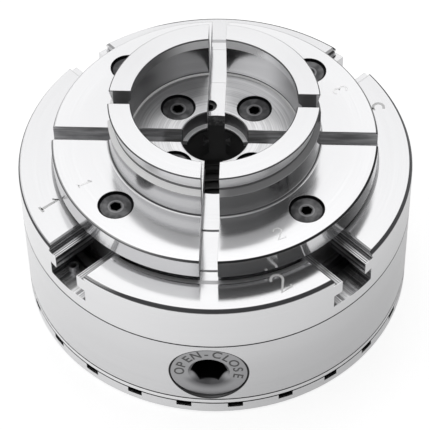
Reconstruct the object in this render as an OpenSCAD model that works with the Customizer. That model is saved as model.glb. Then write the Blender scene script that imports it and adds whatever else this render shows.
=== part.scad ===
// Geared four-jaw scroll chuck for a wood lathe
// +Z is the spindle axis, jaws up, z = 0 is the rear face. The key socket faces -Y.

/* [Body] */
// Outer diameter of the chuck body
body_d = 99; // [94:1:110]
// Wall of the case outside the scroll
rim_wall = 7.1; // [7:0.1:9]
// Diameter of the hub that the scroll turns on
hub_d = 36.6; // [35:0.1:38]
// Bore through the middle of the front body
centre_bore_d = 26.4; // [22:0.1:28]
// Thickness of metal under the outer end of a jaw slot
slot_web = 3.6; // [3:0.1:5]
// Depth of a jaw slot below the front face
slot_depth = 10.2; // [9.8:0.1:12]
// Height of each turned land on the front face
land_h = 0.38; // [0.2:0.01:0.5]
// Diameter of the outer land
outer_land_d = 74.2; // [66:0.1:76]
// Diameter of the inner land
inner_land_d = 49.6; // [44:0.1:56]
// Width of the bevel round the front face
front_bevel_w = 0.6; // [0.5:0.05:1.5]
// Height of the bevel round the front face
front_bevel_h = 0.95; // [0.3:0.05:1]
// Bevel round the rear edge
rear_bevel = 1.1; // [0.5:0.1:1.5]
// Bevel on both sides of each seam
seam_bevel = 0.18; // [0.1:0.01:0.3]

/* [Jaw slots] */
// Width of a jaw slot at its top and in its undercut
slot_w = 12.7; // [12:0.1:14]
// Opening between the two rails of a slot
rail_gap = 7.8; // [7.2:0.1:8.6]
// Height of the undercut below the rails
undercut_h = 4.2; // [3.8:0.1:5]
// Height of a rail
rail_h = 3.8; // [3.2:0.1:4]
// Bevel along the top edges of a slot
slot_edge = 0.5; // [0.2:0.05:0.8]
// Relief cut in the corner above a rail
corner_relief = 0.35; // [0.2:0.05:0.5]
// Sliding clearance between a jaw slide and its slot
slide_fit = 0.1; // [0.05:0.01:0.15]
// Clearance between a jaw slide and the slot floor
floor_fit = 0.2; // [0.1:0.05:0.3]

/* [Scroll and gears] */
// Radial pitch of the scroll spiral
scroll_pitch = 4; // [4:0.1:4.4]
// Width of the spiral ridge
ridge_w = 1.8; // [1.6:0.05:1.9]
// Height of the spiral ridge
ridge_h = 2.85; // [2.4:0.05:3.2]
// Thickness of the scroll plate over the gear roots
plate_t = 2.3; // [2:0.1:3]
// Width of the plain rim outside the ring gear
scroll_rim_w = 4.5; // [4.2:0.1:5]
// Radial clearance between the scroll and the case
case_fit = 0.3; // [0.2:0.05:0.4]
// Radial running clearance of the scroll on the hub
hub_fit = 0.05; // [0.03:0.01:0.08]
// Axial running clearance of the scroll
thrust_fit = 0.12; // [0.08:0.01:0.2]
// Clearance between a slide tooth and the spiral, each side
tooth_fit = 0.22; // [0.18:0.01:0.26]
// Clearance below the slide teeth
tooth_tip_fit = 0.3; // [0.2:0.05:0.4]
// Width of a slide tooth
tooth_w = 10; // [8:0.1:10.5]
// Clearance over the spiral ridge, up to the level of the slot floors
ridge_fit = 0.15; // [0.1:0.01:0.2]
// Step from the slot floors up to the ceiling of the scroll recess
ceiling_step = 0.1; // [0.05:0.01:0.2]
// Radial gap from the teeth of the ring gear to the scroll's rim
heel_gap = 0.7; // [0.5:0.05:0.8]
// Radial gap from the teeth of the ring gear to the case's ledge
ledge_gap = 1; // [0.9:0.05:1.3]
// Radial gap from the scroll's inner boss to the inner ends of the pinion's teeth
toe_gap = 0.6; // [0.5:0.05:0.8]
// Teeth on the ring gear under the scroll
ring_teeth = 40; // [40:8:48]
// Teeth on the bevel pinion
pinion_teeth = 8; // [8:1:9]
// Face width of the gears
gear_face = 9.6; // [7:0.1:10]
// Pressure angle of the gears
gear_angle = 25; // [24:0.5:27]
// Addendum of the pinion, in modules
pinion_addendum = 0.95; // [0.85:0.01:1]
// Addendum of the ring gear, in modules
ring_addendum = 0.66; // [0.55:0.01:0.7]
// Long-addendum shift of the pinion, in modules
gear_shift = 0.4; // [0.35:0.01:0.42]
// Clearance at the tips and roots of the gear teeth
gear_clearance = 0.3; // [0.2:0.05:0.4]
// Play between the gear flanks at their outer end
backlash = 0.3; // [0.2:0.05:0.4]

/* [Pinion] */
// Metal between the pinion bore and the rear of the case
pinion_margin = 0.56; // [0.5:0.02:1]
// Radial clearance from the gear teeth to the pinion journal's surface
journal_over = 0.38; // [0.3:0.02:0.6]
// Radial running clearance of the pinion
pinion_fit = 0.07; // [0.04:0.01:0.09]
// How far the flat end of the pinion lies inside the case's outer surface
pinion_inset = 0.8; // [0.6:0.05:1.2]
// Bevel round the end of the pinion
pinion_bevel = 0.3; // [0.2:0.05:0.4]
// Radial clearance from the pinion's neck to the tips of the ring gear
neck_fit = 0.5; // [0.4:0.05:0.8]
// Axial gap from the pinion's journal to the inside of the case
shoulder_gap = 0.3; // [0.2:0.05:0.5]
// Depth of the lead-in cone round the key socket
socket_lead = 1.2; // [0.8:0.1:1.5]
// Axial clearance at the end of the stub
stub_end_fit = 0.2; // [0.1:0.05:0.3]
// Diameter of the pinion's inner stub
stub_d = 6; // [5:0.1:7]
// Depth of the stub's seat in the hub
stub_depth = 2.3; // [1.8:0.1:2.4]
// Hexagon across flats of the key socket
key_af = 8; // [6:0.1:8.4]
// Depth of the key socket
key_depth = 9; // [7:0.5:10]
// Width of the retaining groove beyond the pin, each side
groove_fit = 0.15; // [0.1:0.01:0.2]
// Diameter of the pinion's retaining pin
lock_pin_d = 2.4; // [2:0.1:2.8]
// Depth of the retaining groove
groove_depth = 1.35; // [1:0.05:1.5]
// Distance from the case's outer surface to the retaining pin
lock_pin_inset = 4.3; // [4.2:0.1:5]

/* [Index ring and cover] */
// Thickness of the index ring
index_h = 4.56; // [4:0.1:6]
// Thickness of the gear cover plate
cover_t = 1.64; // [1.2:0.1:2.4]
// Number of index notches
index_count = 24; // [12:12:24]
// Width of an index notch
notch_w = 3.8; // [3:0.1:4.2]
// Height of an index notch
notch_h = 1.76; // [1.4:0.1:2.2]
// Radial depth of an index notch
notch_depth = 4.6; // [3.5:0.1:5]
// Gap between the index ring and the insert's flange
ring_gap = 0.7; // [0.4:0.1:1]

/* [Spindle insert] */
// Major diameter of the spindle thread
thread_d = 25.4; // [22:0.1:26]
// Depth of the spindle thread
thread_depth = 1.5; // [1.2:0.1:1.8]
// Diameter of the insert's body
insert_d = 30.8; // [29.4:0.1:31.6]
// Length of the insert
insert_len = 24; // [20:0.5:25]
// Diameter of the insert's flange
flange_d = 45; // [42:0.5:46]
// Depth of the plain register behind the thread
register_depth = 4; // [3:0.5:5]
// Radial clearance of that register over the thread
register_fit = 0.1; // [0.05:0.01:0.2]
// Bevel at the inner end of the thread
thread_lead = 1; // [0.6:0.1:1.2]
// Bevel round the insert's flange
insert_bevel = 0.5; // [0.3:0.1:0.8]
// Diameter of the pin-spanner holes
spanner_hole_d = 4; // [3:0.1:4.4]
// Depth of the pin-spanner holes
spanner_hole_depth = 3; // [2:0.1:3.4]

/* [Jaws] */
// Diameter of the jaw flange at rest
jaw_d = 81.2; // [78:0.1:86]
// Thickness of the jaw flange
flange_t = 5.85; // [5.4:0.05:7]
// Height of the gripping collar above the flange
collar_h = 13.4; // [11:0.1:16]
// Outer diameter of the collar
collar_d = 52.6; // [50:0.1:54]
// Inner diameter of the collar at its mouth
mouth_d = 40.8; // [38:0.1:42]
// Inner diameter of the collar below its lip
collar_in_d = 43; // [42.6:0.1:44]
// Height of the outer dovetail lip
outer_lip_h = 4.2; // [3.5:0.1:4.6]
// Height of the inner lip
inner_lip_h = 3.3; // [2.5:0.1:4]
// Outer diameter of the lip at its top
lip_d = 52.1; // [50:0.1:52.5]
// Depth of the outer dovetail
dovetail = 0.95; // [0.6:0.05:1.1]
// Height of the groove under the outer lip
lip_groove_h = 0.85; // [0.6:0.05:1.2]
// Flare of the inner lip from its mouth down
lip_flare = 0.35; // [0.1:0.05:0.6]
// Bevel on the edges of the collar's mouth
mouth_bevel = 0.25; // [0.1:0.05:0.4]
// Bevel on the upper edge of the flange
flange_bevel = 0.45; // [0.2:0.05:0.7]
// Radius where the collar meets the flange
collar_fillet = 0.6; // [0.3:0.05:1]
// Gap between neighbouring jaws at rest
jaw_gap = 4.4; // [4.2:0.1:5]
// Gap left between neighbouring jaws when closed
closed_gap = 0.3; // [0.2:0.05:0.4]
// Diameter of the jaws' centre bore
jaw_bore_d = 16.8; // [16:0.1:17.2]
// Diameter of the lip at the bottom of the centre bore
jaw_lip_d = 14.4; // [13.6:0.1:15]
// Thickness of that lip
jaw_lip_t = 1.45; // [1.3:0.05:1.8]
// Clearance between the body's inner land and the jaws
jaw_lift = 0.88; // [0.6:0.02:1.2]
// Outward travel of the jaws from rest
travel_out = 7; // [6:0.1:7]

/* [Jaw slides] */
// Distance from the axis to a slide's inner end
slide_in = 8.7; // [8.6:0.1:9.4]
// Distance from the axis to a slide's outer end
slide_out = 37.6; // [37.2:0.1:38.6]
// Height of the slide's key in the jaw's underside
key_h = 0.8; // [0.5:0.05:0.9]
// Clearance round that key
key_fit = 0.05; // [0.03:0.01:0.1]
// Clearance from a slide's bevelled corners to its neighbour's when closed
corner_fit = 0.2; // [0.15:0.01:0.3]
// Distance from the axis to the first tooth of slide 1
first_tooth = 22.8; // [22.7:0.1:23]
// Diameter of a stop pin
stop_pin_d = 2.5; // [2:0.1:2.8]
// Bore of a stop pin
stop_pin_bore = 1.5; // [1:0.1:1.6]
// Distance from the body's outer surface to a stop pin
stop_pin_inset = 5; // [5:0.1:5.8]
// Metal left under a stop pin
stop_pin_base = 0.5; // [0.3:0.1:1]
// Play between a stop pin and its slide at full opening
stop_play = 0.1; // [0.05:0.01:0.2]
// Distance from a slot's centreline to its stop pin
stop_pin_v = 3.4; // [3:0.1:3.6]
// How far a stop pin stands above the slot floor
stop_pin_h = 1.6; // [1.2:0.1:2]
// Clearance round a stop pin in a slide's groove
stop_fit = 0.3; // [0.2:0.05:0.4]

/* [Fasteners] */
// Thread diameter of the jaw screws
jaw_screw_d = 4; // [3:0.1:4.2]
// Head diameter of the jaw screws
jaw_head_d = 7.66; // [7:0.02:8.2]
// Length of the jaw screws
jaw_screw_len = 12; // [10:1:14]
// Diameter of the counterbore over a jaw screw
jaw_cbore_d = 8.86; // [8.6:0.02:9.4]
// Depth of the counterbore over a jaw screw
jaw_cbore_depth = 1; // [0.8:0.05:1.3]
// Height of the straight rim of a screw head
head_rim = 0.4; // [0.2:0.05:0.6]
// Hexagon across flats of the jaw screws
jaw_screw_af = 2.5; // [2:0.1:3]
// Depth of the hexagon sockets in the screws
screw_socket_depth = 2; // [1.5:0.1:2.2]
// Radial clearance of the jaw screws in the jaws
jaw_screw_fit = 0.25; // [0.1:0.05:0.4]
// Depth of the jaw screws' tapped holes past their ends
tapped_past = 1; // [0.5:0.1:1.5]
// Distance from the axis to the inner jaw screws
inner_screw_u = 13.55; // [13.4:0.05:14.2]
// Distance from the axis to the outer jaw screws
outer_screw_u = 32.7; // [32:0.1:33.4]
// Number of case screws
case_screws_n = 6; // [3:3:6]
// Thread diameter of the case screws
case_screw_d = 3; // [2.5:0.1:3.4]
// Head diameter of the case screws
case_head_d = 5.8; // [5:0.1:5.9]
// Thread engagement of the case screws in the front body
case_grip = 7.6; // [6:0.1:9]
// Hexagon across flats of the case screws
case_screw_af = 2; // [1.5:0.1:2.2]
// Distance from the case's outer surface to the case screws
case_screw_inset = 4.1; // [4:0.05:4.3]
// Diameter of the case dowels
dowel_d = 3; // [2.4:0.1:3]
// Length of a case dowel on each side of the seam
dowel_half = 4.6; // [3:0.1:5]
// Thread diameter of the set screw in the front face
set_screw_d = 4; // [3:0.1:4]
// Length of the set screw
set_screw_len = 7; // [5:0.5:8]
// Distance from the axis to the set screw
set_screw_r = 16.7; // [16.4:0.1:17]
// Direction of the set screw
set_screw_angle = 97.5; // [95:0.5:100]
// Depth of the set screw below the face
set_screw_sink = 0.6; // [0.3:0.1:1]
// Hexagon across flats of the set screw
set_screw_af = 2; // [1.5:0.1:2]

/* [Hidden] */
$fn = 96;
over = 1;

body_r = body_d / 2;
hub_r = hub_d / 2;
cavity_r = body_r - rim_wall;
scroll_r = cavity_r - case_fit;
heel_r = scroll_r - scroll_rim_w;
toe_r = heel_r - gear_face;
ledge_r = heel_r + ledge_gap;
boss_r = toe_r - toe_gap;
screw_circle_r = body_r - case_screw_inset;
slot_angles = [-135, -45, 45, 135];
dowel_angles = [75, 255];
case_turn = 360 / case_screws_n;
stop_pin_u = body_r - stop_pin_inset;
travel_in = (jaw_gap - closed_gap) / 2 / cos(45);

// Gear sizes at the outer end of the teeth, measured from the pinion's axis
pitch_r = heel_r * pinion_teeth / ring_teeth;
module_mm = 2 * pitch_r / pinion_teeth;
pinion_tip_r = pitch_r + pinion_addendum * module_mm;
ring_tip_h = pitch_r - ring_addendum * module_mm;
pinion_root_r = ring_tip_h - gear_clearance;
ring_root_h = pinion_tip_r + gear_clearance;
toe_scale = toe_r / heel_r;
journal_r = pinion_tip_r + journal_over;
pinion_bore_r = journal_r + pinion_fit;
stub_r = stub_d / 2;
neck_r = ring_tip_h - neck_fit;

// Heights, from the rear face up
cover_z = index_h;
case_z = index_h + cover_t;
pinion_z = case_z + pinion_margin + pinion_bore_r;
root_z = pinion_z + ring_root_h;
plate_z = root_z + plate_t;
ridge_z = plate_z + ridge_h;
ledge_z = pinion_z + pitch_r;
floor_z = ridge_z + ridge_fit;
ceiling_z = floor_z + ceiling_step;
seam_z = floor_z - slot_web;
rail_z = floor_z + undercut_h;
rail_top_z = rail_z + rail_h;
face_z = floor_z + slot_depth;
outer_land_z = face_z + land_h;
inner_land_z = outer_land_z + land_h;
jaw_z = inner_land_z + jaw_lift;
flange_z = jaw_z + flange_t;
top_z = flange_z + collar_h;

// Slides
slide_half = slot_w / 2 - slide_fit;
neck_half = rail_gap / 2 - slide_fit;
slide_z = floor_z + floor_fit;
slide_top_z = jaw_z + key_h;
tooth_t = scroll_pitch - ridge_w - 2 * tooth_fit;
tooth_z = plate_z + tooth_tip_fit;
tooth_limit = scroll_r - travel_out - tooth_t / 2;
stop_groove_u = stop_pin_u - stop_pin_d / 2 - stop_play - travel_out;
stop_groove_r = stop_pin_d / 2 + stop_fit;
stop_groove_h = stop_pin_h - floor_fit + stop_fit;

// Screws
jaw_cone_z = flange_z - jaw_cbore_depth;
jaw_head_z = jaw_cone_z + head_rim;
case_tip_z = seam_z + case_grip;

// Places a child at each of the given angles round the axis
module around(angles) {
  for (a = angles) rotate([0, 0, a]) children();
}

// Revolves an outline of [radius, height] points about the Z axis
module turned(outline) {
  rotate_extrude() polygon(outline);
}

// A cylinder that lies along +Y from y0 to y1 at the pinion's height
module cross_cylinder(r, y0, y1) {
  translate([0, y0, pinion_z]) rotate([-90, 0, 0]) cylinder(r = r, h = y1 - y0);
}

// A hexagon socket of the given width across flats, with corners on the X axis
module hexagon_hole(across_flats, depth) {
  cylinder(d = across_flats / cos(30), h = depth, $fn = 6);
}

// Extrudes an outline of [across, height] points along +X from x0 to x1
module along_slot(outline, x0, x1) {
  translate([x0, 0, 0]) rotate([90, 0, 90]) linear_extrude(x1 - x0) polygon(outline);
}

// Mirrors the right half of a section, given from bottom to top, into a closed outline
function mirrored(half) = concat(half, [for (i = [len(half) - 1:-1:0]) [-half[i][0], half[i][1]]]);

function slot_outline(top) = mirrored([
  [slot_w / 2, floor_z],
  [slot_w / 2, rail_z],
  [rail_gap / 2, rail_z],
  [rail_gap / 2, rail_top_z],
  [slot_w / 2 + corner_relief, rail_top_z],
  [slot_w / 2 + corner_relief, rail_top_z + corner_relief],
  [slot_w / 2, rail_top_z + 2 * corner_relief],
  [slot_w / 2, face_z - slot_edge],
  [slot_w / 2 + slot_edge, face_z],
  [slot_w / 2 + slot_edge, top]
]);

function slide_outline() = mirrored([
  [slide_half, slide_z],
  [slide_half, rail_z - slide_fit],
  [neck_half, rail_z - slide_fit],
  [neck_half, rail_top_z + slide_fit],
  [slide_half, rail_top_z + slide_fit],
  [slide_half, slide_top_z]
]);

// Front body with its slots, lands, hub and scroll recess
module front_body() {
  color([0.80, 0.80, 0.81]) difference() {
    turned([
      [insert_d / 2, cover_z],
      [hub_r, cover_z],
      [hub_r, ceiling_z],
      [cavity_r, ceiling_z],
      [cavity_r, seam_z],
      [body_r - seam_bevel, seam_z],
      [body_r, seam_z + seam_bevel],
      [body_r, face_z - front_bevel_h],
      [body_r - front_bevel_w, face_z],
      [outer_land_d / 2, face_z],
      [outer_land_d / 2, outer_land_z],
      [inner_land_d / 2, outer_land_z],
      [inner_land_d / 2, inner_land_z],
      [centre_bore_d / 2, inner_land_z],
      [centre_bore_d / 2, insert_len],
      [insert_d / 2, insert_len]
    ]);
    around(slot_angles) along_slot(slot_outline(inner_land_z + over), 0, body_r + over);
    around([for (i = [0:case_screws_n - 1]) i * case_turn])
      translate([screw_circle_r, 0, seam_z - over])
        cylinder(r = case_screw_d / 2, h = case_grip + over);
    around(dowel_angles)
      translate([screw_circle_r, 0, seam_z - over])
        cylinder(r = dowel_d / 2, h = dowel_half + over);
    around(slot_angles)
      translate([stop_pin_u, -stop_pin_v, seam_z + stop_pin_base])
        cylinder(r = stop_pin_d / 2, h = slot_web);
    rotate([0, 0, set_screw_angle])
      translate([set_screw_r, 0, inner_land_z - set_screw_sink - set_screw_len])
        cylinder(r = set_screw_d / 2, h = set_screw_len + set_screw_sink + over);
    cross_cylinder(stub_r + pinion_fit, -hub_r - over, -hub_r + stub_depth);
  }
}

// Case that holds the scroll's rim and the pinion
module rear_housing() {
  color([0.76, 0.76, 0.77]) difference() {
    turned([
      [ledge_r, case_z],
      [body_r - seam_bevel, case_z],
      [body_r, case_z + seam_bevel],
      [body_r, seam_z - seam_bevel],
      [body_r - seam_bevel, seam_z],
      [cavity_r, seam_z],
      [cavity_r, ledge_z],
      [ledge_r, ledge_z]
    ]);
    cross_cylinder(pinion_bore_r, -body_r - over, -ledge_r + 2 * over);
    case_screw_holes(case_z, seam_z);
    around(dowel_angles)
      translate([screw_circle_r, 0, seam_z - dowel_half])
        cylinder(r = dowel_d / 2, h = dowel_half + over);
    translate([0, -body_r + lock_pin_inset, pinion_z])
      cylinder(r = lock_pin_d / 2, h = seam_z - pinion_z + over);
  }
}

// Through holes for the case screws, from z0 to z1
module case_screw_holes(z0, z1) {
  around([for (i = [0:case_screws_n - 1]) i * case_turn])
    translate([screw_circle_r, 0, z0 - over])
      cylinder(r = case_screw_d / 2, h = z1 - z0 + 2 * over);
}

// Thin plate that closes the gear case
module gear_cover() {
  color([0.86, 0.86, 0.87]) difference() {
    turned([
      [hub_r, cover_z],
      [body_r - seam_bevel, cover_z],
      [body_r, cover_z + seam_bevel],
      [body_r, case_z - seam_bevel],
      [body_r - seam_bevel, case_z],
      [hub_r, case_z]
    ]);
    case_screw_holes(cover_z, case_z);
  }
}

// Rear ring with the index notches
module index_ring() {
  color([0.78, 0.78, 0.79]) difference() {
    turned([
      [flange_d / 2 + ring_gap, 0],
      [body_r - rear_bevel, 0],
      [body_r, rear_bevel],
      [body_r, index_h - seam_bevel],
      [body_r - seam_bevel, index_h],
      [flange_d / 2 + ring_gap, index_h]
    ]);
    around([for (i = [0:index_count - 1]) (i + 0.5) * 360 / index_count])
      translate([body_r - notch_depth, -notch_w / 2, index_h - notch_h])
        cube([notch_depth + over, notch_w, notch_h + over]);
    case_screw_holes(0, index_h);
    around([for (i = [0:case_screws_n - 1]) i * case_turn])
      translate([screw_circle_r, 0, 0]) case_head(over);
  }
}

// Countersunk head of a case screw, with its wide end carried down by extra
module case_head(extra) {
  head_h = case_head_d / 2 - case_screw_d / 2;
  translate([0, 0, head_rim])
    cylinder(r1 = case_head_d / 2, r2 = case_screw_d / 2, h = head_h);
  translate([0, 0, -extra]) cylinder(r = case_head_d / 2, h = head_rim + extra);
}

module case_screws() {
  color([0.25, 0.25, 0.26]) around([for (i = [0:case_screws_n - 1]) i * case_turn])
    translate([screw_circle_r, 0, 0]) difference() {
      union() {
        case_head(0);
        translate([0, 0, head_rim]) cylinder(r = case_screw_d / 2, h = case_tip_z - head_rim);
      }
      translate([0, 0, -over]) hexagon_hole(case_screw_af, screw_socket_depth + over);
    }
}

module case_dowels() {
  color([0.55, 0.55, 0.56]) around(dowel_angles)
    translate([screw_circle_r, 0, seam_z - dowel_half])
      cylinder(r = dowel_d / 2, h = 2 * dowel_half);
}

// Hollow pins that stop the slides at full opening
module stop_pins() {
  color([0.45, 0.45, 0.46]) around(slot_angles)
    translate([stop_pin_u, -stop_pin_v, seam_z + stop_pin_base]) difference() {
      cylinder(r = stop_pin_d / 2, h = slot_web - stop_pin_base + stop_pin_h);
      translate([0, 0, -over])
        cylinder(r = stop_pin_bore / 2, h = slot_web + stop_pin_h + 2 * over);
    }
}

module set_screw() {
  color([0.25, 0.25, 0.26]) rotate([0, 0, set_screw_angle])
    translate([set_screw_r, 0, inner_land_z - set_screw_sink - set_screw_len]) difference() {
      cylinder(r = set_screw_d / 2, h = set_screw_len);
      translate([0, 0, set_screw_len - screw_socket_depth])
        hexagon_hole(set_screw_af, screw_socket_depth + over);
    }
}

// Threaded insert that screws into the hub and onto the lathe spindle
module spindle_insert() {
  bore_r = thread_d / 2 - thread_depth;
  register_r = thread_d / 2 + register_fit;
  color([0.70, 0.70, 0.71]) difference() {
    turned([
      [register_r, 0],
      [flange_d / 2 - insert_bevel, 0],
      [flange_d / 2, insert_bevel],
      [flange_d / 2, cover_z],
      [insert_d / 2, cover_z],
      [insert_d / 2, insert_len],
      [bore_r + thread_lead, insert_len],
      [bore_r, insert_len - thread_lead],
      [bore_r, register_depth],
      [register_r, register_depth]
    ]);
    around([45, 135, 225, 315])
      translate([(thread_d / 2 + flange_d / 2) / 2, 0, -over])
        cylinder(r = spanner_hole_d / 2, h = spanner_hole_depth + over);
  }
}

// Bevel ring gear: teeth point down and taper towards the crossing point of the two axes
function ring_edge(h, side) =
  side * 180 / PI / heel_r
  * (PI * module_mm / 4 - gear_shift * module_mm * tan(gear_angle) - backlash / 4
     + (h - pitch_r) * tan(gear_angle));
ring_heel = [
  for (i = [0:ring_teeth - 1])
    for (s = [[ring_root_h, -1], [ring_tip_h, -1], [ring_tip_h, 1], [ring_root_h, 1]])
      let (a = i * 360 / ring_teeth + ring_edge(s[0], s[1]))
        [heel_r * cos(a), heel_r * sin(a), s[0]]
];

module ring_gear(top_h) {
  n = len(ring_heel);
  heel = ring_heel;
  toe = [for (p = ring_heel) p * toe_scale];
  heel_top = [for (p = heel) [p[0], p[1], top_h]];
  toe_top = [for (p = toe) [p[0], p[1], top_h]];
  faces = [
    for (i = [0:n - 1])
      let (j = (i + 1) % n)
        each [
          [i, 2 * n + i, 2 * n + j, j],
          [n + i, n + j, 3 * n + j, 3 * n + i],
          [2 * n + i, 3 * n + i, 3 * n + j, 2 * n + j],
          [i, j, n + j, n + i]
        ]
  ];
  translate([0, 0, pinion_z]) polyhedron(concat(heel, toe, heel_top, toe_top), faces);
}

// Plane spiral: its radius grows by one pitch a turn, counterclockwise from the front
function spiral_r(a) =
  first_tooth - scroll_pitch / 2 + scroll_pitch * (a - slot_angles[0]) / 360;
function spiral_a(r) =
  slot_angles[0] + 360 * (r - first_tooth + scroll_pitch / 2) / scroll_pitch;
spiral_edge = 0.1;
spiral_step = 6;
spiral_sink = 0.5;
spiral_start = spiral_a(hub_r + hub_fit + ridge_w / 2 + spiral_edge);
spiral_end = spiral_a(scroll_r - ridge_w / 2 - spiral_edge);
spiral_steps = ceil((spiral_end - spiral_start) / spiral_step);

function spiral_side(offset) = [
  for (i = [0:spiral_steps])
    let (a = spiral_start + (spiral_end - spiral_start) * i / spiral_steps, r = spiral_r(a) + offset)
      [r * cos(a), r * sin(a)]
];

module spiral_ridge() {
  outer = spiral_side(ridge_w / 2);
  inner = spiral_side(-ridge_w / 2);
  linear_extrude(ridge_h + spiral_sink)
    polygon(concat(outer, [for (i = [spiral_steps:-1:0]) inner[i]]));
}

// Scroll with its spiral on top and the ring gear below
module scroll_gear() {
  boss_z = pinion_z + ring_tip_h * toe_scale;
  web_z = root_z + gear_clearance;
  rim_z = ledge_z + thrust_fit;
  color([0.62, 0.62, 0.64]) union() {
    turned([
      [hub_r + hub_fit, boss_z],
      [boss_r, boss_z],
      [boss_r, web_z],
      [heel_r + heel_gap, web_z],
      [heel_r + heel_gap, rim_z],
      [scroll_r, rim_z],
      [scroll_r, plate_z],
      [hub_r + hub_fit, plate_z]
    ]);
    ring_gear(ring_root_h + gear_clearance + spiral_sink);
    translate([0, 0, plate_z - spiral_sink]) spiral_ridge();
  }
}

// Involute flank of the pinion: half angle of the tooth at radius r
pinion_base_r = pitch_r * cos(gear_angle);
function involute(a) = tan(a) * 180 / PI - a;
function flank_angle(r) =
  let (half = 180 / PI / pitch_r
    * (PI * module_mm / 4 + gear_shift * module_mm * tan(gear_angle) - backlash / 4))
    half + involute(gear_angle) - involute(acos(min(1, pinion_base_r / max(r, pinion_base_r))));
pinion_radii = [
  pinion_root_r,
  pinion_base_r,
  pinion_base_r + (pinion_tip_r - pinion_base_r) / 3,
  pinion_base_r + (pinion_tip_r - pinion_base_r) * 2 / 3,
  pinion_tip_r
];
pinion_outline = [
  for (i = [0:pinion_teeth - 1])
    let (c = (i + 0.5) * 360 / pinion_teeth)
      each concat(
        [for (r = pinion_radii) let (a = c - flank_angle(r)) [r * cos(a), r * sin(a)]],
        [for (k = [4:-1:0]) let (r = pinion_radii[k], a = c + flank_angle(r)) [r * cos(a), r * sin(a)]]
      )
];

// Bevel pinion with its journal, key socket, neck, teeth and stub
module bevel_pinion() {
  end_y = -body_r + pinion_inset;
  pin_y = -body_r + lock_pin_inset;
  groove_half = lock_pin_d / 2 + groove_fit;
  shoulder_y = -cavity_r - shoulder_gap;
  stub_end_y = -hub_r + stub_depth - stub_end_fit;
  color([0.60, 0.60, 0.61]) difference() {
    union() {
      translate([0, end_y, pinion_z]) rotate([-90, 0, 0]) turned([
        [0, 0],
        [journal_r - pinion_bevel, 0],
        [journal_r, pinion_bevel],
        [journal_r, pin_y - groove_half - end_y],
        [journal_r - groove_depth, pin_y - groove_half - end_y],
        [journal_r - groove_depth, pin_y + groove_half - end_y],
        [journal_r, pin_y + groove_half - end_y],
        [journal_r, shoulder_y - end_y],
        [neck_r, shoulder_y - end_y],
        [neck_r, -heel_r - end_y],
        [stub_r, -heel_r - end_y],
        [stub_r, stub_end_y - end_y],
        [0, stub_end_y - end_y]
      ]);
      translate([0, -heel_r, pinion_z]) rotate([-90, 0, 0])
        linear_extrude(gear_face, scale = toe_scale) polygon(pinion_outline);
    }
    translate([0, end_y - over, pinion_z]) rotate([-90, 0, 0])
      hexagon_hole(key_af, key_depth + over);
    translate([0, end_y - over, pinion_z]) rotate([-90, 0, 0])
      cylinder(r1 = key_af / 2 + socket_lead + over, r2 = key_af / 2, h = socket_lead + over);
  }
}

// Pin that stands in the pinion's groove and holds it in the case
module pinion_pin() {
  tip_z = pinion_z + journal_r - groove_depth + groove_fit;
  color([0.50, 0.50, 0.51])
    translate([0, -body_r + lock_pin_inset, tip_z]) cylinder(r = lock_pin_d / 2, h = seam_z - tip_z);
}

// Tooth of a slide: arcs that clear the spiral over the whole travel
module slide_tooth(u) {
  inner_arc = scroll_r;
  outer_arc = u + tooth_t / 2 - travel_in;
  lead = atan(scroll_pitch / (2 * PI * (hub_r + scroll_r) / 2));
  translate([u, 0, tooth_z]) rotate([0, 0, -lead]) linear_extrude(slide_z - tooth_z + spiral_sink)
    intersection() {
      difference() {
        translate([tooth_t / 2 - outer_arc, 0]) circle(outer_arc);
        translate([-tooth_t / 2 - inner_arc, 0]) circle(inner_arc);
      }
      square([4 * tooth_t, tooth_w], center = true);
    }
}

// Rest distances of the teeth of slide k
function teeth_of(k) = [
  for (n = [0:4])
    let (u = first_tooth + (k - 1) * scroll_pitch / 4 + n * scroll_pitch)
      if (u <= tooth_limit) u
];

module jaw_slide(k) {
  corner = slide_in - travel_in - corner_fit;
  color([0.58, 0.58, 0.60]) rotate([0, 0, slot_angles[k - 1]]) difference() {
    union() {
      intersection() {
        along_slot(slide_outline(), slide_in, slide_out);
        linear_extrude(slide_top_z + over) polygon([
          [slide_in, -corner],
          [slide_in + slot_w, -corner - slot_w],
          [slide_out + over, -corner - slot_w],
          [slide_out + over, corner + slot_w],
          [slide_in + slot_w, corner + slot_w],
          [slide_in, corner]
        ]);
      }
      for (u = teeth_of(k)) slide_tooth(u);
    }
    for (u = [inner_screw_u, outer_screw_u])
      translate([u, 0, jaw_head_z - jaw_screw_len - tapped_past])
        cylinder(r = jaw_screw_d / 2, h = jaw_screw_len);
    translate([stop_groove_u, -stop_pin_v, slide_z - over])
      cylinder(r = stop_groove_r, h = stop_groove_h + over);
    translate([stop_groove_u, -stop_pin_v - stop_groove_r, slide_z - over])
      cube([slot_w, 2 * stop_groove_r, stop_groove_h + over]);
  }
}

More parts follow.
